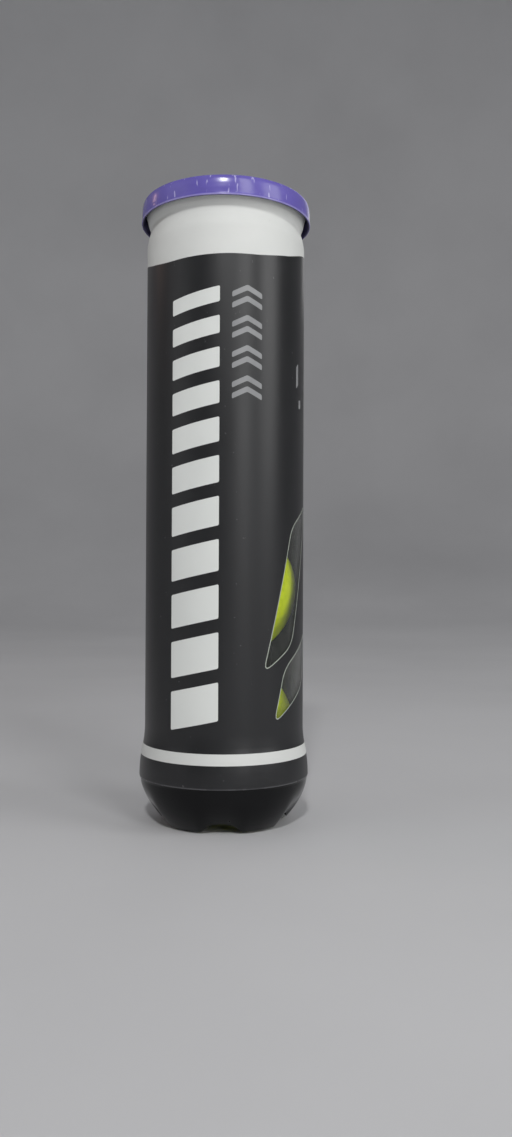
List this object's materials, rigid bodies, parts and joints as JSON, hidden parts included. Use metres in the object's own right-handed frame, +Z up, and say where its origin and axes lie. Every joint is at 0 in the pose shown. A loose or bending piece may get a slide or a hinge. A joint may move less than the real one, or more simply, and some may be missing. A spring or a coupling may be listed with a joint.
{
  "type": "tennis ball can",
  "caption": "Clear plastic can in a printed shrink film, with a footed base, a ring-pull metal end and a push-on lid, holding a stack of tennis balls.",
  "frame": {"origin": "centre of the can on the plane of its feet", "axes": "+Z up along the can's axis towards the lid, -Y towards the front of the label"},
  "size_m": [0.0808, 0.0808, 0.2923],
  "materials": {
    "clear_bottle": "clear, glossy",
    "label_film": "satin printed film",
    "end_metal": "bright rolled sheet",
    "lid_plastic": "glossy moulded",
    "rubber_core": "moulded",
    "ball_felt": "napped felt",
    "seam_glue": "cured glue"
  },
  "bodies": {
    "can": {"can_body": "clear_bottle", "shrink_sleeve": "label_film", "seam_ring": "end_metal", "seal_panel": "end_metal", "tab_rivet": "end_metal"},
    "ring_pull": {"pull_tab": "end_metal"},
    "lid": {"snap_lid": "lid_plastic"},
    "ball_1": {"ball_1_core_lower": "rubber_core", "ball_1_core_upper": "rubber_core", "ball_1_felt_a": "ball_felt", "ball_1_felt_b": "ball_felt", "ball_1_seam": "seam_glue"},
    "ball_2": {"ball_2_core_lower": "rubber_core", "ball_2_core_upper": "rubber_core", "ball_2_felt_a": "ball_felt", "ball_2_felt_b": "ball_felt", "ball_2_seam": "seam_glue"},
    "ball_3": {"ball_3_core_lower": "rubber_core", "ball_3_core_upper": "rubber_core", "ball_3_felt_a": "ball_felt", "ball_3_felt_b": "ball_felt", "ball_3_seam": "seam_glue"},
    "ball_4": {"ball_4_core_lower": "rubber_core", "ball_4_core_upper": "rubber_core", "ball_4_felt_a": "ball_felt", "ball_4_felt_b": "ball_felt", "ball_4_seam": "seam_glue"}
  },
  "joints": [
    {"name": "lid_lift", "type": "slide", "parent": "can", "child": "lid", "axis": [0, 0, 1], "range_m": [0, 0.08]},
    {"name": "ring_pull_lift", "type": "hinge", "parent": "can", "child": "ring_pull", "pos_m": [0, -0.0245, 0.2837], "axis": [1, 0, 0], "range_deg": [0, 9]},
    {"name": "ball_1_play", "type": "slide", "parent": "can", "child": "ball_1", "axis": [0, 0, 1], "range_m": [0, 0.00175]},
    {"name": "ball_2_play", "type": "slide", "parent": "ball_1", "child": "ball_2", "axis": [0, 0, 1], "range_m": [0, 0.00175]},
    {"name": "ball_3_play", "type": "slide", "parent": "ball_2", "child": "ball_3", "axis": [0, 0, 1], "range_m": [0, 0.00175]},
    {"name": "ball_4_play", "type": "slide", "parent": "ball_3", "child": "ball_4", "axis": [0, 0, 1], "range_m": [0, 0.00175]}
  ]
}
